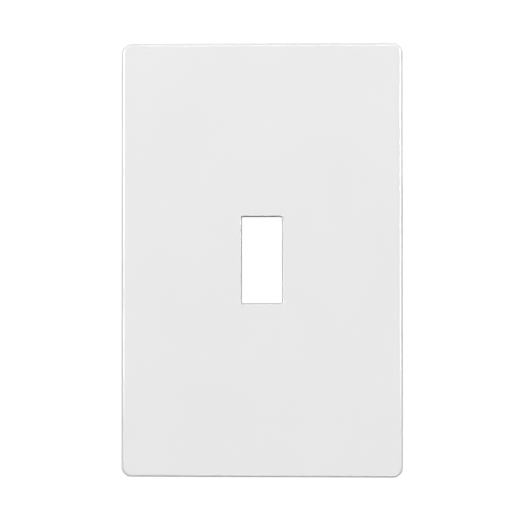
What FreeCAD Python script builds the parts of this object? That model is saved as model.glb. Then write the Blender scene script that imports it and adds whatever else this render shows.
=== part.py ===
import FreeCAD, Part
import os
import re
import Sketcher

# One-gang clip-on wall plate for a toggle switch, in millimetres.
# Seen from the room, +X is right and +Z is up. The wall is the plane y = 0 and the plate stands off it
# towards -Y. The origin is the middle of the plate on the wall plane.

DIMENSIONS = {
    # face cover: a drafted shell, open towards the wall
    "cover_width": 77.3,
    "cover_height": 118.9,
    "cover_depth": 6.6,
    "cover_corner": 3.0,
    "cover_draft": 3.0,
    "cover_edge_round": 0.9,
    "face_thick": 1.8,
    "skirt_thick": 1.8,
    "hollow_corner": 1.5,
    # opening for the switch's toggle, widest at the face, with a collar behind it
    "slot_width": 11.35,
    "slot_height": 24.0,
    "slot_corner": 0.5,
    "slot_draft": 4.0,
    "slot_edge_round": 0.2,
    "collar_thick": 1.6,
    "collar_depth": 0.9,
    # snap fingers inside the skirt
    "finger_gap": 1.0,
    "finger_thick": 1.2,
    "finger_width": 7.0,
    "finger_length": 4.0,
    "barb_reach": 0.6,
    "barb_rise": 0.9,
    "barb_tip_flat": 0.15,
    "barb_tip_room": 0.07,
    "root_overlap": 0.3,
    # back of the face
    "rib_thick": 1.0,
    "rib_height": 0.9,
    "rib_length": 92.0,
    "rib_place": 20.0,
    "pin_mark_diameter": 4.0,
    "pin_mark_depth": 0.15,
    "pin_mark_across": 27.0,
    "pin_mark_up": 44.0,
    "pry_notch_width": 8.0,
    "pry_notch_depth": 1.2,
    # mounting plate: a shallow tray that lies on the wall
    "tray_corner": 4.0,
    "tray_depth": 4.0,
    "tray_wall": 1.4,
    "web_thick": 1.6,
    "tooth_reach": 0.5,
    "tooth_pitch": 0.9,
    "tooth_start": 0.7,
    "tooth_lead": 0.15,
    "tooth_flat": 0.12,
    "rack_width": 9.0,
    "window_width": 15.5,
    "window_height": 27.6,
    "window_corner": 1.0,
    "window_rim": 1.4,
    "window_rim_height": 0.6,
    "strip_width": 10.0,
    "strip_height": 25.0,
    "strip_across": 21.0,
    "strip_corner": 2.0,
    "boss_diameter": 9.4,
    "boss_height": 0.4,
    "bore_diameter": 4.2,
    "brace_thick": 1.2,
    "brace_height": 1.4,
    "brace_place": 36.5,
    "back_edge_round": 0.4,
    "back_mark_diameter": 5.0,
    "back_mark_depth": 0.15,
    "back_mark_across": 26.0,
    "back_mark_up": 46.0,
    # screws, number 6 with 32 threads to the inch, half an inch long
    "screw_spacing": 60.325,
    "seat_gap": 0.05,
    "screw_diameter": 3.505,
    "screw_length": 12.7,
    "screw_point": 0.45,
    "neck_diameter": 2.98,
    "neck_length": 2.55,
    "thread_pitch": 0.79375,
    "thread_depth": 0.487,
    "thread_overcut": 0.1,
    "head_diameter": 6.86,
    "head_height": 2.1,
    "head_side": 0.95,
    "head_flat": 3.2,
    "head_bevel": 0.15,
    "crown_round": 0.35,
    "slot_cut_width": 0.95,
    "slot_cut_depth": 0.9,
    "cross_width": 1.05,
    "cross_span": 3.9,
    "cross_depth": 1.45,
    "cross_taper": 8.0,
}

# places of the snap fingers and of the racks they click onto, along each side of the plate
LONG_SIDE_PLACES = {"bottom": -36.0, "middle": 0.0, "top": 36.0}
SHORT_SIDE_PLACES = {"left": -17.0, "right": 17.0}
TEETH_IN_RACK = 3

# half sizes of the tray's outside, of the fingers' faces and of the skirt's inside, as cell sums
SKIRT_INSIDE = {"x": "(cover_width / 2 - skirt_thick)", "z": "(cover_height / 2 - skirt_thick)"}
FINGER_OUTSIDE = {side: f"({size} - finger_gap)" for side, size in SKIRT_INSIDE.items()}
FINGER_INSIDE = {side: f"({size} - finger_thick)" for side, size in FINGER_OUTSIDE.items()}
BARB_TIP = {side: f"({size} - barb_reach)" for side, size in FINGER_INSIDE.items()}
TOOTH_TIP = {side: f"({size} - barb_tip_room)" for side, size in BARB_TIP.items()}
TRAY_OUTSIDE = {side: f"({size} - tooth_reach)" for side, size in TOOTH_TIP.items()}

FACE_BACK = "(cover_depth - face_thick)"
HEAD_SEAT = "(web_thick + boss_height + seat_gap)"

document = FreeCAD.newDocument("toggle_wall_plate")


def fill_sheet():
    """The driving dimensions, one cell and one alias each."""
    sheet = document.addObject("Spreadsheet::Sheet", "Dims")
    for row, (alias, size) in enumerate(DIMENSIONS.items(), start=1):
        sheet.set(f"A{row}", alias)
        sheet.set(f"B{row}", str(size))
        sheet.setAlias(f"B{row}", alias)
    document.recompute()


def cells(text):
    """The same sum with each dimension's word pointing at its cell."""
    return re.sub(r"[a-z_]+", lambda word: f"Dims.{word[0]}" if word[0] in DIMENSIONS else word[0], text)


def bind(item, name, text):
    item.setExpression(name, cells(text))


def new_body(label):
    body = document.addObject("PartDesign::Body", label)
    body.Label = label
    return body


def new_sketch(body, name, role="XZ_Plane", forward="0"):
    """A sketch on one of the body's origin planes, moved forward along that plane's normal."""
    sketch = body.newObject("Sketcher::SketchObject", name)
    plane = next(item for item in body.Origin.OriginFeatures if item.Role == role)
    sketch.AttachmentSupport = (plane, [""])
    sketch.MapMode = "FlatFace"
    bind(sketch, "AttachmentOffset.Base.z", forward)
    document.recompute()
    return sketch


def pin_point(sketch, geometry, end, place):
    """Holds one point of the sketch at a place, given as two cell sums."""
    axes = (("DistanceX", -2), ("DistanceY", -1))
    for (kind, axis), text in zip(axes, place):
        size = float(sketch.evalExpression(cells(text)))
        if abs(size) < 1e-9:
            sketch.addConstraint(Sketcher.Constraint("PointOnObject", geometry, end, axis))
        elif size > 0:
            index = sketch.addConstraint(Sketcher.Constraint(kind, -1, 1, geometry, end, size))
            bind(sketch, f"Constraints[{index}]", text)
        else:
            index = sketch.addConstraint(Sketcher.Constraint(kind, geometry, end, -1, 1, -size))
            bind(sketch, f"Constraints[{index}]", f"-({text})")


def draw_polygon(sketch, corners):
    """A closed outline of straight sides through corners given as pairs of cell sums."""
    points = [
        FreeCAD.Vector(*(float(sketch.evalExpression(cells(text))) for text in corner), 0)
        for corner in corners
    ]
    sides = [
        sketch.addGeometry(Part.LineSegment(start, end))
        for start, end in zip(points, points[1:] + points[:1])
    ]
    for side, following in zip(sides, sides[1:] + sides[:1]):
        sketch.addConstraint(Sketcher.Constraint("Coincident", side, 2, following, 1))
    for side, corner in zip(sides, corners):
        pin_point(sketch, side, 1, corner)


def draw_box(sketch, width, height, across="0", up="0"):
    """A rectangle of the given width and height about a centre."""
    draw_polygon(sketch, [
        (f"{across} + {horizontal} * ({width}) / 2", f"{up} + {vertical} * ({height}) / 2")
        for horizontal, vertical in ((-1, -1), (1, -1), (1, 1), (-1, 1))
    ])


def draw_rounded_box(sketch, width, height, corner, across="0", up="0"):
    """A rectangle with round corners about a centre."""
    radius = float(sketch.evalExpression(cells(corner)))
    quarter = 1.5707963267948966
    arcs = []
    for turn, (horizontal, vertical) in enumerate(((1, 1), (-1, 1), (-1, -1), (1, -1))):
        centre = (
            f"{across} + {horizontal} * (({width}) / 2 - ({corner}))",
            f"{up} + {vertical} * (({height}) / 2 - ({corner}))",
        )
        middle = FreeCAD.Vector(*(float(sketch.evalExpression(cells(text))) for text in centre), 0)
        circle = Part.Circle(middle, FreeCAD.Vector(0, 0, 1), radius)
        arc = sketch.addGeometry(Part.ArcOfCircle(circle, turn * quarter, (turn + 1) * quarter))
        pin_point(sketch, arc, 3, centre)
        index = sketch.addConstraint(Sketcher.Constraint("Radius", arc, radius))
        bind(sketch, f"Constraints[{index}]", corner)
        arcs.append(arc)
    for number, arc in enumerate(arcs):
        following = arcs[(number + 1) % 4]
        ends = [sketch.getPoint(arc, 2), sketch.getPoint(following, 1)]
        line = sketch.addGeometry(Part.LineSegment(*ends))
        sketch.addConstraint(Sketcher.Constraint("Tangent", arc, 2, line, 1))
        sketch.addConstraint(Sketcher.Constraint("Tangent", line, 2, following, 1))


def draw_circle(sketch, diameter, across="0", up="0"):
    size = float(sketch.evalExpression(cells(diameter)))
    middle = FreeCAD.Vector(*(float(sketch.evalExpression(cells(text))) for text in (across, up)), 0)
    circle = sketch.addGeometry(Part.Circle(middle, FreeCAD.Vector(0, 0, 1), size / 2))
    pin_point(sketch, circle, 3, (across, up))
    index = sketch.addConstraint(Sketcher.Constraint("Diameter", circle, size))
    bind(sketch, f"Constraints[{index}]", diameter)


def pad(sketch, length, towards_wall=False, taper=None):
    """Material from the sketch, away from the wall unless told otherwise."""
    feature = sketch.getParentGeoFeatureGroup().newObject("PartDesign::Pad", f"{sketch.Name}_pad")
    feature.Profile = sketch
    feature.Reversed = towards_wall
    bind(feature, "Length", length)
    if taper:
        bind(feature, "TaperAngle", taper)
    return checked(feature, grows=True)


def cut(sketch, length=None, towards_wall=True, taper=None):
    """Material taken away from the sketch, towards the wall unless told otherwise; no length is right through."""
    feature = sketch.getParentGeoFeatureGroup().newObject("PartDesign::Pocket", f"{sketch.Name}_cut")
    feature.Profile = sketch
    feature.Reversed = not towards_wall
    if length:
        bind(feature, "Length", length)
    else:
        feature.Type = "ThroughAll"
    if taper:
        bind(feature, "TaperAngle", taper)
    return checked(feature, grows=False)


def checked(feature, grows):
    """The feature, once it is known to have changed the body's volume the right way."""
    before = feature.BaseFeature.Shape.Volume if feature.BaseFeature else 0.0
    document.recompute()
    change = feature.Shape.Volume - before
    if (change > 0) != grows or abs(change) < 1e-6:
        raise ValueError(f"{feature.Name} changed the volume by {change:.3f}")
    return feature


def round_edges(feature, name, radius, chosen):
    """Rounds the edges of a feature for which chosen(edge) is true."""
    edges = [f"Edge{index}" for index, edge in enumerate(feature.Shape.Edges, start=1) if chosen(edge)]
    rounding = feature.getParentGeoFeatureGroup().newObject("PartDesign::Fillet", name)
    rounding.Base = (feature, edges)
    bind(rounding, "Radius", radius)
    document.recompute()
    return rounding


def lies_on(edge, depth):
    """Whether an edge lies in the plane this far in front of the wall."""
    return all(abs(vertex.Y + depth) < 1e-4 for vertex in edge.Vertexes)


def draw_mirrored(sketch, corners, first_axis):
    """An outline and its mirror image across the plate's middle plane; first_axis tells which sum is mirrored."""
    draw_polygon(sketch, corners)
    if first_axis:
        draw_polygon(sketch, [(f"-({across})", forward) for across, forward in corners])
    else:
        draw_polygon(sketch, [(forward, f"-({across})") for forward, across in corners])


def barb_outline(side):
    """The barb of a finger, which points inwards at the finger's free end: (outwards, forward) corners."""
    root = FINGER_INSIDE[side]
    free_end = f"({FACE_BACK} - finger_length)"
    tip = f"({free_end} + barb_rise / 2)"
    return [
        (f"{root} + root_overlap", f"-{free_end}"),
        (root, f"-{free_end}"),
        (BARB_TIP[side], f"-{tip}"),
        (BARB_TIP[side], f"-({tip} + barb_tip_flat)"),
        (root, f"-({tip} + barb_tip_flat + barb_rise / 2)"),
        (f"{root} + root_overlap", f"-({tip} + barb_tip_flat + barb_rise / 2)"),
    ]


def rack_outline(side):
    """The saw teeth on the outside of the tray: (outwards, forward) corners."""
    root = TRAY_OUTSIDE[side]
    outline = [(f"{root} - root_overlap", "-tooth_start")]
    for tooth in range(TEETH_IN_RACK):
        foot = f"(tooth_start + {tooth} * tooth_pitch)"
        outline.append((root, f"-{foot}"))
        outline.append((TOOTH_TIP[side], f"-({foot} + tooth_lead)"))
        outline.append((TOOTH_TIP[side], f"-({foot} + tooth_lead + tooth_flat)"))
    last_foot = f"(tooth_start + {TEETH_IN_RACK} * tooth_pitch)"
    outline.append((root, f"-{last_foot}"))
    outline.append((f"{root} - root_overlap", f"-{last_foot}"))
    return outline


def add_click_row(body, name, outline, width):
    """Barbs or racks at each place of the long sides and of the short sides."""
    for place, up in LONG_SIDE_PLACES.items():
        sketch = new_sketch(body, f"{name}_side_{place}", "XY_Plane", f"{up} - {width} / 2")
        draw_mirrored(sketch, outline("x"), first_axis=True)
        pad(sketch, width)
    for place, across in SHORT_SIDE_PLACES.items():
        sketch = new_sketch(body, f"{name}_end_{place}", "YZ_Plane", f"{across} - {width} / 2")
        corners = [(forward, outwards) for outwards, forward in outline("z")]
        draw_mirrored(sketch, corners, first_axis=False)
        pad(sketch, width)


def make_face_cover():
    body = new_body("face_cover")

    outline = new_sketch(body, "cover_outline")
    draw_rounded_box(outline, "cover_width", "cover_height", "cover_corner")
    block = pad(outline, "cover_depth", taper="-cover_draft")
    depth = DIMENSIONS["cover_depth"]
    softened = round_edges(block, "front_edge_round", "cover_edge_round", lambda edge: lies_on(edge, depth))

    hollow = new_sketch(body, "cover_hollow")
    draw_rounded_box(hollow, f"2 * {SKIRT_INSIDE['x']}", f"2 * {SKIRT_INSIDE['z']}", "hollow_corner")
    cut(hollow, FACE_BACK, towards_wall=False, taper="-cover_draft")

    collar = new_sketch(body, "slot_collar", forward=FACE_BACK)
    around = "slot_width + 2 * collar_thick", "slot_height + 2 * collar_thick"
    draw_rounded_box(collar, *around, "(slot_corner + collar_thick)")
    pad(collar, "collar_depth", towards_wall=True)

    slot = new_sketch(body, "toggle_slot", forward="cover_depth")
    draw_rounded_box(slot, "slot_width", "slot_height", "slot_corner")
    slotted = cut(slot, "face_thick + collar_depth + root_overlap", taper="-slot_draft")
    round_edges(
        slotted, "slot_edge_round", "slot_edge_round",
        lambda edge: lies_on(edge, depth) and edge.BoundBox.ZMax < DIMENSIONS["slot_height"],
    )

    fingers = new_sketch(body, "snap_fingers", forward=FACE_BACK)
    for up in LONG_SIDE_PLACES.values():
        for side in (-1, 1):
            across = f"{side} * ({FINGER_OUTSIDE['x']} - finger_thick / 2)"
            draw_box(fingers, "finger_thick", "finger_width", across, str(up))
    for across in SHORT_SIDE_PLACES.values():
        for side in (-1, 1):
            up = f"{side} * ({FINGER_OUTSIDE['z']} - finger_thick / 2)"
            draw_box(fingers, "finger_width", "finger_thick", str(across), up)
    pad(fingers, "finger_length", towards_wall=True)
    add_click_row(body, "barb", barb_outline, "finger_width")

    ribs = new_sketch(body, "face_ribs", forward=FACE_BACK)
    for side in (-1, 1):
        draw_box(ribs, "rib_thick", "rib_length", f"{side} * rib_place")
    pad(ribs, "rib_height", towards_wall=True)

    notch = new_sketch(body, "pry_notch")
    draw_box(notch, "pry_notch_width", "2 * skirt_thick", up="-(cover_height / 2)")
    cut(notch, "pry_notch_depth", towards_wall=False)

    marks = new_sketch(body, "pin_marks", forward=FACE_BACK)
    for across in (-1, 1):
        for up in (-1, 0, 1):
            draw_circle(marks, "pin_mark_diameter", f"{across} * pin_mark_across", f"{up} * pin_mark_up")
    cut(marks, "pin_mark_depth", towards_wall=False)
    return body


def make_mounting_plate():
    body = new_body("mounting_plate")

    outline = new_sketch(body, "tray_outline")
    outside = f"2 * {TRAY_OUTSIDE['x']}", f"2 * {TRAY_OUTSIDE['z']}"
    draw_rounded_box(outline, *outside, "tray_corner")
    block = pad(outline, "tray_depth")
    round_edges(block, "back_edge_round", "back_edge_round", lambda edge: lies_on(edge, 0.0))

    floor = new_sketch(body, "tray_inside", forward="tray_depth")
    inside = [f"{size} - 2 * tray_wall" for size in outside]
    draw_rounded_box(floor, *inside, "(tray_corner - tray_wall)")
    cut(floor, "tray_depth - web_thick")

    add_click_row(body, "rack", rack_outline, "rack_width")

    raised = new_sketch(body, "window_rim", forward="web_thick")
    rim = "window_width + 2 * window_rim", "window_height + 2 * window_rim"
    draw_rounded_box(raised, *rim, "(window_corner + window_rim)")
    pad(raised, "window_rim_height")

    bosses = new_sketch(body, "screw_bosses", forward="web_thick")
    for side in (-1, 1):
        draw_circle(bosses, "boss_diameter", up=f"{side} * screw_spacing / 2")
    pad(bosses, "boss_height")

    braces = new_sketch(body, "braces", forward="web_thick")
    for side in (-1, 1):
        draw_box(braces, f"2 * ({TRAY_OUTSIDE['x']} - tray_wall / 2)", "brace_thick", up=f"{side} * brace_place")
    pad(braces, "brace_height")

    window = new_sketch(body, "switch_window")
    draw_rounded_box(window, "window_width", "window_height", "window_corner")
    cut(window, towards_wall=False)

    strips = new_sketch(body, "light_strips")
    for across in (-1, 1):
        draw_rounded_box(strips, "strip_width", "strip_height", "strip_corner", f"{across} * strip_across")
    cut(strips, towards_wall=False)

    bores = new_sketch(body, "screw_bores")
    for side in (-1, 1):
        draw_circle(bores, "bore_diameter", up=f"{side} * screw_spacing / 2")
    cut(bores, towards_wall=False)

    marks = new_sketch(body, "back_marks")
    for across in (-1, 1):
        for up in (-1, 1):
            draw_circle(marks, "back_mark_diameter", f"{across} * back_mark_across", f"{up} * back_mark_up")
    cut(marks, "back_mark_depth", towards_wall=False)
    return body


def draw_screw_profile(sketch):
    """Half of the screw's section: across is the radius, and up runs along the axis towards the wall."""
    neck_step = "(screw_diameter - neck_diameter) / 2"
    corners = [
        ("0", "-head_height"),
        ("head_flat / 2", "-head_height"),
        ("head_diameter / 2", "-head_side"),
        ("head_diameter / 2", "-head_bevel"),
        ("head_diameter / 2 - head_bevel", "0"),
        ("neck_diameter / 2", "0"),
        ("neck_diameter / 2", "neck_length"),
        ("screw_diameter / 2", f"neck_length + {neck_step}"),
        ("screw_diameter / 2", "screw_length - screw_point"),
        ("screw_diameter / 2 - screw_point", "screw_length"),
        ("0", "screw_length"),
    ]
    draw_polygon(sketch, corners)


def make_screw(label, up):
    """A pan-head screw with a slot across a cross recess, its head's underside at its own y = 0."""
    body = new_body(label)

    section = new_sketch(body, f"{label}_section", "XY_Plane")
    draw_screw_profile(section)
    turned = body.newObject("PartDesign::Revolution", f"{label}_blank")
    turned.Profile = section
    turned.ReferenceAxis = (section, ["V_Axis"])
    turned.Angle = 360
    checked(turned, grows=True)
    crown = DIMENSIONS["head_height"]
    round_edges(turned, f"{label}_crown_round", "crown_round", lambda edge: lies_on(edge, crown))

    slot = new_sketch(body, f"{label}_slot", forward="head_height")
    draw_box(slot, "head_diameter + 1", "slot_cut_width")
    cut(slot, "slot_cut_depth")

    cross = new_sketch(body, f"{label}_cross", forward="head_height")
    wide, narrow = "cross_span / 2", "cross_width / 2"
    draw_polygon(cross, [
        (wide, f"-{narrow}"), (wide, narrow), (narrow, narrow), (narrow, wide),
        (f"-{narrow}", wide), (f"-{narrow}", narrow), (f"-{wide}", narrow), (f"-{wide}", f"-{narrow}"),
        (f"-{narrow}", f"-{narrow}"), (f"-{narrow}", f"-{wide}"), (narrow, f"-{wide}"), (narrow, f"-{narrow}"),
    ])
    cut(cross, "cross_depth", taper="-cross_taper")

    groove = new_sketch(body, f"{label}_groove", "XY_Plane")
    bottom = "(screw_diameter / 2 - thread_depth)"
    beyond = "(screw_diameter / 2 + thread_overcut)"
    half_root = "thread_pitch / 16"
    half_mouth = "(thread_pitch / 16 + (thread_depth + thread_overcut) * tan(30 deg))"
    start = "(neck_length + thread_pitch / 2)"
    draw_polygon(groove, [
        (beyond, f"{start} - {half_mouth}"), (beyond, f"{start} + {half_mouth}"),
        (bottom, f"{start} + {half_root}"), (bottom, f"{start} - {half_root}"),
    ])
    thread = body.newObject("PartDesign::SubtractiveHelix", f"{label}_thread")
    thread.Profile = groove
    thread.ReferenceAxis = (groove, ["V_Axis"])
    thread.Mode = 0
    bind(thread, "Pitch", "thread_pitch")
    bind(thread, "Height", "screw_length - neck_length")
    checked(thread, grows=False)

    bind(body, "Placement.Base.y", f"-{HEAD_SEAT}")
    bind(body, "Placement.Base.z", up)
    return body


def write_parts(bodies):
    """Checks every object of the document, then writes one file for each piece."""
    document.recompute()
    for item in document.Objects:
        if {"Invalid", "Error"} & set(item.State):
            raise ValueError(f"{item.Name} failed: {item.State}")
    for body in bodies:
        if body.Shape.isNull() or not body.Shape.isValid() or len(body.Shape.Solids) != 1:
            raise ValueError(f"{body.Label} is not one valid solid")
    os.makedirs("parts", exist_ok=True)
    for body in bodies:
        body.Shape.exportStep(f"parts/{body.Label}.step")
        box = body.Shape.BoundBox
        print(f"{body.Label}: {body.Shape.Volume:.1f} mm3, {box.XLength:.2f} x {box.YLength:.2f} x {box.ZLength:.2f}")


fill_sheet()
pieces = [
    make_face_cover(),
    make_mounting_plate(),
    make_screw("upper_screw", "screw_spacing / 2"),
    make_screw("lower_screw", "-screw_spacing / 2"),
]
write_parts(pieces)
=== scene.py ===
import math

import bpy
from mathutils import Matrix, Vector


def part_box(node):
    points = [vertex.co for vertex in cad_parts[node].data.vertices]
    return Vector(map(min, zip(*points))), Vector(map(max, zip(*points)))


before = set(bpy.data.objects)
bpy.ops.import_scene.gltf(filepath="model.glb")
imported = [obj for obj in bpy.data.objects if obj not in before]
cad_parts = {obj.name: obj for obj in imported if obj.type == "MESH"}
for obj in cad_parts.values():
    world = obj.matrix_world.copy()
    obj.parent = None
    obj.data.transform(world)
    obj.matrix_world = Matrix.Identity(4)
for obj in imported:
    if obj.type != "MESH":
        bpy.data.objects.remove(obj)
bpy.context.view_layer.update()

# A clip-on wall plate for a toggle switch: the cover, the mounting plate it clicks onto and two screws.
# +X is right and +Z is up as seen from the room, and the wall is behind the plate, towards +Y.

MM = 0.001
MICRON = 0.000001

# the cover, from its own node
PLATE_LOW, PLATE_HIGH = (Vector(corner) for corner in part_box("face_cover"))
PLATE_MIDDLE = (PLATE_LOW + PLATE_HIGH) / 2

# depths at which the cover's polished outside gives way to its matt inside, measured in from its box
SKIRT_MIDDLE = 1.2 * MM
FACE_MIDDLE = 0.9 * MM

# the screws: radius over the roots and over the crests of the thread, how far back the head reaches,
# and how far apart the turning rings lie
THREAD_ROOT = 1.30 * MM
THREAD_CREST = 1.70 * MM
HEAD_REACH = 2.1 * MM
RING_PITCH = 0.14 * MM

# the camera stands close to straight in front of the plate, a touch to its right and below its middle
VIEW_DISTANCE = 0.36
VIEW_WIDTH = 0.1448
VIEW_TURN = math.radians(1.37)
VIEW_LIFT = math.radians(-0.36)
AIM_ASIDE = -0.38 * MM
AIM_BELOW = 0.20 * MM
SENSOR_WIDTH = 36.0

# how far round to each side the front softboxes stand
SIDE_TURN = math.radians(36)

# strength of the white ground that the eye sees, and of the fill that lights the plate
GROUND_STRENGTH = 1.02
FILL_FROM_BELOW = 0.03
FILL_FROM_ABOVE = 0.22

FLOOR_RADIUS = 0.95
FLOOR_LEVEL = -0.26


# ---------------------------------------------------------------- node helpers

# the sockets of a Mix node that carry colours; the others carry numbers, vectors and turns
COLOUR_INPUTS = slice(6, 8)
COLOUR_OUTPUT = 2


def add_node(tree, kind, label, settings=None, **values):
    """A node with a label, its settings and the plain values of its inputs."""
    node = tree.nodes.new(kind)
    node.label = label
    for setting, value in (settings or {}).items():
        setattr(node, setting, value)
    for socket, value in values.items():
        node.inputs[socket.replace("_", " ")].default_value = value
    return node


def math_node(tree, operation, label, first, second=None):
    """One step of arithmetic on one or two values, each a plain number or another node's output."""
    node = add_node(tree, "ShaderNodeMath", label, {"operation": operation})
    for socket, source in zip(node.inputs, (first, second)):
        if isinstance(source, bpy.types.NodeSocket):
            tree.links.new(source, socket)
        elif source is not None:
            socket.default_value = source
    return node.outputs[0]


def spread(tree, label, source, low, high, start=0.0, end=1.0):
    """Stretches a value so that low becomes start and high becomes end, and holds it there beyond them."""
    node = add_node(tree, "ShaderNodeMapRange", label, From_Min=low, From_Max=high, To_Min=start, To_Max=end)
    tree.links.new(source, node.inputs["Value"])
    return node.outputs["Result"]


def blend_colours(tree, label, mask, first, second):
    """The first colour where the mask is 0 and the second where it is 1."""
    node = add_node(tree, "ShaderNodeMix", label, {"data_type": "RGBA"})
    tree.links.new(mask, node.inputs["Factor"])
    for socket, source in zip(node.inputs[COLOUR_INPUTS], (first, second)):
        if isinstance(source, bpy.types.NodeSocket):
            tree.links.new(source, socket)
        else:
            socket.default_value = (*source, 1)
    return node.outputs[COLOUR_OUTPUT]


def noise(tree, label, position, scale, detail, roughness=0.5):
    """Soft noise; its scale is the number of lumps in a metre, as a number or an output."""
    node = add_node(tree, "ShaderNodeTexNoise", label, Detail=detail, Roughness=roughness)
    tree.links.new(position, node.inputs["Vector"])
    if isinstance(scale, bpy.types.NodeSocket):
        tree.links.new(scale, node.inputs["Scale"])
    else:
        node.inputs["Scale"].default_value = scale
    return node.outputs["Fac"]


# ---------------------------------------------------------------- shared effects, as node groups

def new_group(name, inputs, outputs):
    """An empty group: inputs maps each name to its kind and usual value, outputs each name to its kind."""
    group = bpy.data.node_groups.new(name, "ShaderNodeTree")
    for label, (kind, usual) in inputs.items():
        socket = group.interface.new_socket(label, in_out="INPUT", socket_type=f"NodeSocket{kind}")
        if usual is not None:
            socket.default_value = usual
    for label, kind in outputs.items():
        group.interface.new_socket(label, in_out="OUTPUT", socket_type=f"NodeSocket{kind}")
    return group, group.nodes.new("NodeGroupInput").outputs, group.nodes.new("NodeGroupOutput").inputs


def make_surface_grain():
    """Height in microns of a moulded or plated skin: fine lumps over slow waves."""
    group, given, result = new_group(
        "surface_grain",
        {
            "Position": ("Vector", None),
            "Lump Size": ("Float", 0.4 * MM),
            "Lump Height": ("Float", 1.0),
            "Wave Size": ("Float", 12 * MM),
            "Wave Height": ("Float", 1.0),
        },
        {"Height": "Float"},
    )
    per_lump = math_node(group, "DIVIDE", "lumps in a metre", 1.0, given["Lump Size"])
    per_wave = math_node(group, "DIVIDE", "waves in a metre", 1.0, given["Wave Size"])
    lumps = noise(group, "fine lumps", given["Position"], per_lump, 2.0)
    waves = noise(group, "slow waves", given["Position"], per_wave, 1.0)
    raised = math_node(group, "MULTIPLY", "height of the lumps", lumps, given["Lump Height"])
    heaved = math_node(group, "MULTIPLY", "height of the waves", waves, given["Wave Height"])
    group.links.new(math_node(group, "ADD", "skin height", raised, heaved), result["Height"])
    return group


def make_tone_drift():
    """A colour that drifts a little between two tones, in cloudy patches."""
    group, given, result = new_group(
        "tone_drift",
        {
            "Position": ("Vector", None),
            "Light Tone": ("Color", (0.9, 0.9, 0.9, 1)),
            "Deep Tone": ("Color", (0.8, 0.8, 0.8, 1)),
            "Patch Size": ("Float", 20 * MM),
        },
        {"Color": "Color"},
    )
    per_patch = math_node(group, "DIVIDE", "patches in a metre", 1.0, given["Patch Size"])
    clouds = noise(group, "clouds", given["Position"], per_patch, 3.0)
    mask = spread(group, "cloud mask", clouds, 0.35, 0.65)
    tone = blend_colours(group, "tone", mask, given["Light Tone"], given["Deep Tone"])
    group.links.new(tone, result["Color"])
    return group


def make_handling_haze():
    """How much the gloss is dulled by handling: smudges broken up by faint wiping streaks."""
    group, given, result = new_group(
        "handling_haze",
        {
            "Position": ("Vector", None),
            "Smudge Size": ("Float", 14 * MM),
            "Streak Size": ("Float", 1.2 * MM),
        },
        {"Haze": "Float"},
    )
    per_smudge = math_node(group, "DIVIDE", "smudges in a metre", 1.0, given["Smudge Size"])
    smudge_noise = noise(group, "smudge noise", given["Position"], per_smudge, 4.0)
    smudges = spread(group, "smudges", smudge_noise, 0.42, 0.68)
    slanted = add_node(
        group, "ShaderNodeMapping", "slanted strokes",
        Rotation=(0, math.radians(28), 0), Scale=(1.0, 1.0, 0.08),
    )
    group.links.new(given["Position"], slanted.inputs["Vector"])
    per_streak = math_node(group, "DIVIDE", "streaks in a metre", 1.0, given["Streak Size"])
    streak_noise = noise(group, "streak noise", slanted.outputs[0], per_streak, 2.0)
    streaks = spread(group, "streaks", streak_noise, 0.4, 0.7)
    faint_streaks = spread(group, "faint streaks", streaks, 0, 1, 0.6, 1)
    broken = math_node(group, "MULTIPLY", "smudges with streaks", smudges, faint_streaks)
    group.links.new(broken, result["Haze"])
    return group


def make_fine_specks():
    """Sparse small round specks of dust; only a share of the cells holds one."""
    group, given, result = new_group(
        "fine_specks",
        {
            "Position": ("Vector", None),
            "Spacing": ("Float", 4 * MM),
            "Speck Share": ("Float", 0.3),
            "Speck Width": ("Float", 0.05),
        },
        {"Specks": "Float"},
    )
    per_cell = math_node(group, "DIVIDE", "cells in a metre", 1.0, given["Spacing"])
    cells = add_node(group, "ShaderNodeTexVoronoi", "speck cells", {"feature": "F1"})
    group.links.new(given["Position"], cells.inputs["Vector"])
    group.links.new(per_cell, cells.inputs["Scale"])
    chance = add_node(group, "ShaderNodeSeparateColor", "one number for each cell")
    group.links.new(cells.outputs["Color"], chance.inputs["Color"])
    chosen = math_node(group, "LESS_THAN", "cells with a speck", chance.outputs["Red"], given["Speck Share"])
    grown = math_node(group, "MULTIPLY", "own width", given["Speck Width"], chance.outputs["Green"])
    near = math_node(group, "LESS_THAN", "inside the speck", cells.outputs["Distance"], grown)
    group.links.new(math_node(group, "MULTIPLY", "specks", chosen, near), result["Specks"])
    return group


def place_group(tree, group, label, position, **values):
    """A node that places a group in a material, reads the position and takes this material's own values."""
    node = add_node(tree, "ShaderNodeGroup", label, {"node_tree": group}, **values)
    tree.links.new(position, node.inputs["Position"])
    return node.outputs[0]


# ---------------------------------------------------------------- materials

def new_material(name):
    """A new material with its node tree and its Principled shader."""
    material = bpy.data.materials.new(name)
    material.use_nodes = True
    tree = material.node_tree
    return material, tree, tree.nodes["Principled BSDF"]


def object_position(tree, centre=(0, 0, 0)):
    """Object coordinates in metres, counted from a centre."""
    place = add_node(tree, "ShaderNodeTexCoord", "place on the object")
    moved = add_node(tree, "ShaderNodeMapping", "from the centre", Location=[-value for value in centre])
    tree.links.new(place.outputs["Object"], moved.inputs["Vector"])
    return moved.outputs["Vector"]


def raise_surface(tree, shader, microns):
    """Feeds a height in microns to the shader's normal."""
    bump = add_node(tree, "ShaderNodeBump", "relief", Strength=1.0, Distance=MICRON)
    tree.links.new(microns, bump.inputs["Height"])
    tree.links.new(bump.outputs["Normal"], shader.inputs["Normal"])


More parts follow.
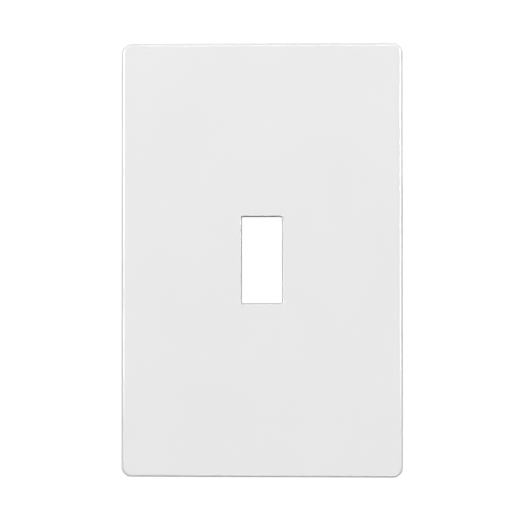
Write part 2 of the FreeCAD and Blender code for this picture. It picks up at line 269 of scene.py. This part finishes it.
def polished_outside(tree, position):
    """1 on the cover's polished outside, 0 on the matt moulding behind it."""
    split = add_node(tree, "ShaderNodeSeparateXYZ", "across, depth and up")
    tree.links.new(position, split.inputs[0])
    across = math_node(tree, "ABSOLUTE", "off the middle", split.outputs["X"])
    up = math_node(tree, "ABSOLUTE", "above or below the middle", split.outputs["Z"])
    half_width = PLATE_HIGH.x - SKIRT_MIDDLE
    half_height = PLATE_HIGH.z - SKIRT_MIDDLE
    past_side = math_node(tree, "SUBTRACT", "past the side skirt", across, half_width)
    past_end = math_node(tree, "SUBTRACT", "past the end skirt", up, half_height)
    past_face = math_node(tree, "SUBTRACT", "past the face", PLATE_LOW.y + FACE_MIDDLE, split.outputs["Y"])
    past_skirt = math_node(tree, "MAXIMUM", "past either skirt", past_side, past_end)
    past = math_node(tree, "MAXIMUM", "past the middle of the wall", past_skirt, past_face)
    return spread(tree, "outside", past, -0.1 * MM, 0.1 * MM)


def cover_plastic():
    """Semi-gloss white polycarbonate, polished outside and matt from the mould behind."""
    material, tree, shader = new_material("cover_plastic")
    shader.inputs["IOR"].default_value = 1.58
    position = object_position(tree)
    outside = polished_outside(tree, position)

    tone = place_group(
        tree, TONE_DRIFT, "resin tone", position,
        Light_Tone=(0.866, 0.866, 0.864, 1), Deep_Tone=(0.856, 0.856, 0.855, 1), Patch_Size=26 * MM,
    )
    specks = place_group(
        tree, FINE_SPECKS, "dust specks", position,
        Spacing=5 * MM, Speck_Share=0.25, Speck_Width=0.03,
    )
    faint_specks = math_node(tree, "MULTIPLY", "faint specks", specks, 0.25)
    dusty = blend_colours(tree, "tone with dust", faint_specks, tone, (0.55, 0.54, 0.52))
    tree.links.new(dusty, shader.inputs["Base Color"])

    haze = place_group(
        tree, HANDLING_HAZE, "handling haze", position,
        Smudge_Size=16 * MM, Streak_Size=1.4 * MM,
    )
    polished = spread(tree, "roughness of the polish", haze, 0, 1, 0.15, 0.2)
    inside_cloud = noise(tree, "uneven mould finish", position, 1 / (3 * MM), 2.0)
    matt = spread(tree, "roughness of the inside", inside_cloud, 0.3, 0.7, 0.4, 0.5)
    extra = math_node(tree, "SUBTRACT", "polish less matt", polished, matt)
    share = math_node(tree, "MULTIPLY", "on the outside only", extra, outside)
    tree.links.new(math_node(tree, "ADD", "roughness", matt, share), shader.inputs["Roughness"])

    lapped = place_group(
        tree, SURFACE_GRAIN, "lapped face", position,
        Lump_Size=0.7 * MM, Lump_Height=0.8, Wave_Size=11 * MM, Wave_Height=5.0,
    )
    eroded = place_group(
        tree, SURFACE_GRAIN, "spark-eroded inside", position,
        Lump_Size=0.35 * MM, Lump_Height=9.0, Wave_Size=9 * MM, Wave_Height=10.0,
    )
    difference = math_node(tree, "SUBTRACT", "lapped less eroded", lapped, eroded)
    fitted = math_node(tree, "MULTIPLY", "outside relief only", difference, outside)
    raise_surface(tree, shader, math_node(tree, "ADD", "relief height", eroded, fitted))
    return material


def backing_plastic():
    """Matt moulded white plastic, a little warmer, with a spark-eroded grain and faint flow marks."""
    material, tree, shader = new_material("backing_plastic")
    shader.inputs["IOR"].default_value = 1.54
    position = object_position(tree)

    tone = place_group(
        tree, TONE_DRIFT, "resin tone", position,
        Light_Tone=(0.80, 0.795, 0.775, 1), Deep_Tone=(0.765, 0.76, 0.735, 1), Patch_Size=12 * MM,
    )
    stretched = add_node(tree, "ShaderNodeMapping", "drawn along the flow", Scale=(1.0, 1.0, 0.12))
    tree.links.new(position, stretched.inputs["Vector"])
    flow = noise(tree, "flow marks", stretched.outputs[0], 1 / (2.2 * MM), 3.0, 0.6)
    flow_mask = spread(tree, "faint flow marks", flow, 0.5, 0.75, 0.0, 0.3)
    marked = blend_colours(tree, "tone with flow marks", flow_mask, tone, (0.70, 0.695, 0.67))
    specks = place_group(
        tree, FINE_SPECKS, "dust specks", position,
        Spacing=3 * MM, Speck_Share=0.4, Speck_Width=0.05,
    )
    faint_specks = math_node(tree, "MULTIPLY", "faint specks", specks, 0.5)
    dusty = blend_colours(tree, "tone with dust", faint_specks, marked, (0.45, 0.43, 0.40))
    tree.links.new(dusty, shader.inputs["Base Color"])

    haze = place_group(
        tree, HANDLING_HAZE, "handling haze", position,
        Smudge_Size=9 * MM, Streak_Size=1.0 * MM,
    )
    tree.links.new(spread(tree, "roughness", haze, 0, 1, 0.5, 0.62), shader.inputs["Roughness"])

    eroded = place_group(
        tree, SURFACE_GRAIN, "spark-eroded grain", position,
        Lump_Size=0.32 * MM, Lump_Height=12.0, Wave_Size=8 * MM, Wave_Height=14.0,
    )
    raise_surface(tree, shader, eroded)
    return material


def plated_steel(screw):
    """Bright zinc plating, with turning rings on the head, wiping scratches and dull, oily thread roots."""
    material, tree, shader = new_material(f"{screw}_plating")
    shader.inputs["Metallic"].default_value = 1.0
    low, high = (Vector(corner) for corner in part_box(screw))
    middle = (low + high) / 2
    position = object_position(tree, (middle.x, low.y, middle.z))

    flat = add_node(tree, "ShaderNodeVectorMath", "off the screw's axis", {"operation": "MULTIPLY"})
    flat.inputs[1].default_value = (1, 0, 1)
    tree.links.new(position, flat.inputs[0])
    length = add_node(tree, "ShaderNodeVectorMath", "radius", {"operation": "LENGTH"})
    tree.links.new(flat.outputs[0], length.inputs[0])
    radius = length.outputs["Value"]
    split = add_node(tree, "ShaderNodeSeparateXYZ", "depth behind the head's top")
    tree.links.new(position, split.inputs[0])
    in_root = spread(tree, "near the thread's roots", radius, THREAD_ROOT, THREAD_CREST, 1.0, 0.0)
    behind_head = spread(tree, "behind the head", split.outputs["Y"], HEAD_REACH, HEAD_REACH + 0.1 * MM)
    roots = math_node(tree, "MULTIPLY", "thread roots", in_root, behind_head)

    tone = place_group(
        tree, TONE_DRIFT, "plating tint", position,
        Light_Tone=(0.70, 0.71, 0.73, 1), Deep_Tone=(0.60, 0.60, 0.58, 1), Patch_Size=1.4 * MM,
    )
    oiled = blend_colours(tree, "tint with oily roots", roots, tone, (0.24, 0.23, 0.21))
    specks = place_group(
        tree, FINE_SPECKS, "plating pits", position,
        Spacing=0.5 * MM, Speck_Share=0.3, Speck_Width=0.22,
    )
    faint_pits = math_node(tree, "MULTIPLY", "shallow pits", specks, 0.6)
    pitted = blend_colours(tree, "tint with pits", faint_pits, oiled, (0.30, 0.29, 0.27))
    tree.links.new(pitted, shader.inputs["Base Color"])

    haze = place_group(
        tree, HANDLING_HAZE, "handling haze", position,
        Smudge_Size=1.6 * MM, Streak_Size=0.12 * MM,
    )
    bright = spread(tree, "roughness of the plating", haze, 0, 1, 0.22, 0.4)
    oily = math_node(tree, "MULTIPLY", "rougher in the roots", roots, 0.15)
    tree.links.new(math_node(tree, "ADD", "roughness", bright, oily), shader.inputs["Roughness"])

    ring_angle = math_node(tree, "MULTIPLY", "angle along the rings", radius, math.tau / RING_PITCH)
    rings = math_node(tree, "SINE", "turning rings", ring_angle)
    plating = place_group(
        tree, SURFACE_GRAIN, "plating grain", position,
        Lump_Size=0.11 * MM, Lump_Height=2.2, Wave_Size=0.9 * MM, Wave_Height=4.0,
    )
    ridged = math_node(tree, "MULTIPLY", "height of the rings", rings, 0.5)
    raise_surface(tree, shader, math_node(tree, "ADD", "relief height", plating, ridged))
    return material


def dress(node, material):
    """Gives a CAD node its material."""
    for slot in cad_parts[node].material_slots:
        slot.material = material


# ---------------------------------------------------------------- camera, light and floor

def direction(turn, lift):
    """The unit vector from the plate towards a place round it. A turn goes from the front towards +X."""
    return Vector((
        math.sin(turn) * math.cos(lift),
        -math.cos(turn) * math.cos(lift),
        math.sin(lift),
    ))


def add_camera():
    """A camera in front of the plate, whose picture is VIEW_WIDTH wide at the wall."""
    data = bpy.data.cameras.new("plate_camera")
    data.sensor_width = SENSOR_WIDTH
    data.lens = SENSOR_WIDTH * VIEW_DISTANCE / VIEW_WIDTH
    camera = bpy.data.objects.new("plate_camera", data)
    bpy.context.collection.objects.link(camera)
    back = direction(VIEW_TURN, VIEW_LIFT)
    aim = Vector((PLATE_MIDDLE.x + AIM_ASIDE, 0.0, PLATE_MIDDLE.z - AIM_BELOW))
    camera.location = aim + back * VIEW_DISTANCE
    camera.rotation_mode = "QUATERNION"
    camera.rotation_quaternion = (-back).to_track_quat("-Z", "Y")
    bpy.context.scene.camera = camera


def add_softbox(name, turn, lift, distance, width, height, radiance, lights="all"):
    """A flat light aimed at the plate, as bright over its whole face as radiance says.

    It lights "all", only the "glints" that a glossy skin mirrors, or everything with "no glints".
    """
    data = bpy.data.lights.new(name, "AREA")
    data.shape = "RECTANGLE"
    data.size = width
    data.size_y = height
    data.energy = radiance * math.pi * width * height
    light = bpy.data.objects.new(name, data)
    bpy.context.collection.objects.link(light)
    back = direction(turn, lift)
    light.location = PLATE_MIDDLE + back * distance
    light.rotation_mode = "QUATERNION"
    light.rotation_quaternion = back.to_track_quat("Z", "Y")
    light.visible_camera = False
    light.visible_diffuse = lights != "glints"
    light.visible_glossy = lights != "no glints"


def add_world():
    """White to the eye, and for everything else a dim fill that comes mostly from above."""
    world = bpy.data.worlds.new("studio")
    bpy.context.scene.world = world
    world.use_nodes = True
    tree = world.node_tree
    tree.nodes.clear()
    place = add_node(tree, "ShaderNodeTexCoord", "where the ray goes")
    split = add_node(tree, "ShaderNodeSeparateXYZ", "how far up it goes")
    tree.links.new(place.outputs["Generated"], split.inputs["Vector"])
    strength = spread(
        tree, "more from above", split.outputs["Z"], -0.2, 0.6, FILL_FROM_BELOW, FILL_FROM_ABOVE,
    )
    fill = add_node(tree, "ShaderNodeBackground", "dim fill", Color=(1, 1, 1, 1))
    tree.links.new(strength, fill.inputs["Strength"])
    seen = add_node(tree, "ShaderNodeBackground", "white ground", Color=(1, 1, 1, 1))
    seen.inputs["Strength"].default_value = GROUND_STRENGTH
    path = add_node(tree, "ShaderNodeLightPath", "the eye's own ray")
    mix = add_node(tree, "ShaderNodeMixShader", "white to the eye only")
    output = add_node(tree, "ShaderNodeOutputWorld", "world")
    tree.links.new(path.outputs["Is Camera Ray"], mix.inputs["Fac"])
    tree.links.new(fill.outputs["Background"], mix.inputs[1])
    tree.links.new(seen.outputs["Background"], mix.inputs[2])
    tree.links.new(mix.outputs["Shader"], output.inputs["Surface"])


def add_studio():
    """Two softboxes in front light the face and one lights the back. The panels only show in the gloss."""
    add_world()
    for side, hand in (("left", -1), ("right", 1)):
        add_softbox(
            f"{side}_softbox", turn=hand * SIDE_TURN, lift=math.radians(13),
            distance=2.2, width=0.6, height=0.8, radiance=18.4,
        )
        add_softbox(
            f"{side}_panel", turn=hand * SIDE_TURN, lift=math.radians(4.5),
            distance=1.5, width=0.6, height=0.66, radiance=10.0, lights="glints",
        )
        add_softbox(
            f"{side}_rear_panel", turn=hand * math.radians(140), lift=math.radians(25),
            distance=1.2, width=0.7, height=0.9, radiance=1.6, lights="glints",
        )
    add_softbox(
        "high_panel", turn=0.0, lift=math.radians(32),
        distance=1.5, width=1.4, height=0.6, radiance=2.5, lights="glints",
    )
    add_softbox(
        "low_panel", turn=0.0, lift=math.radians(-40),
        distance=1.5, width=1.4, height=0.8, radiance=3.0, lights="glints",
    )
    add_softbox(
        "low_rear_panel", turn=math.pi, lift=math.radians(-40),
        distance=1.2, width=1.2, height=0.5, radiance=0.8, lights="glints",
    )
    add_softbox(
        "overhead_panel", turn=math.pi, lift=math.radians(68),
        distance=1.2, width=1.4, height=0.6, radiance=1.0, lights="glints",
    )
    add_softbox(
        "rear_softbox", turn=math.pi, lift=0.0,
        distance=1.2, width=0.9, height=0.9, radiance=5.0, lights="no glints",
    )


def floor_material():
    """Pale and matt, glowing a little, and clearer towards the rim until nothing is left of it."""
    material, tree, shader = new_material("pale_floor")
    shader.inputs["Base Color"].default_value = (0.86, 0.86, 0.85, 1)
    shader.inputs["Roughness"].default_value = 0.9
    shader.inputs["Emission Color"].default_value = (1, 1, 1, 1)
    shader.inputs["Emission Strength"].default_value = 0.45
    length = add_node(tree, "ShaderNodeVectorMath", "out from the middle", {"operation": "LENGTH"})
    place = add_node(tree, "ShaderNodeTexCoord", "place on the floor")
    tree.links.new(place.outputs["Object"], length.inputs[0])
    fade = spread(
        tree, "fade to clear", length.outputs["Value"], 0.35 * FLOOR_RADIUS, 0.98 * FLOOR_RADIUS, 1.0, 0.0,
    )
    tree.links.new(fade, shader.inputs["Alpha"])
    return material


def add_floor():
    """A wide pale disc well below the plate, which fades into the white round it."""
    bpy.ops.object.select_all(action="DESELECT")
    bpy.ops.mesh.primitive_circle_add(
        vertices=96, radius=FLOOR_RADIUS, fill_type="NGON", location=(0, 0, FLOOR_LEVEL),
    )
    floor = bpy.context.active_object
    floor.name = "floor"
    floor.data.materials.append(floor_material())
    floor.visible_diffuse = False
    floor.visible_glossy = False


# ---------------------------------------------------------------- the scene

SURFACE_GRAIN = make_surface_grain()
TONE_DRIFT = make_tone_drift()
HANDLING_HAZE = make_handling_haze()
FINE_SPECKS = make_fine_specks()

bpy.context.scene.view_settings.view_transform = "Standard"
add_camera()
add_studio()
add_floor()
dress("face_cover", cover_plastic())
dress("mounting_plate", backing_plastic())
for screw in ("upper_screw", "lower_screw"):
    dress(screw, plated_steel(screw))
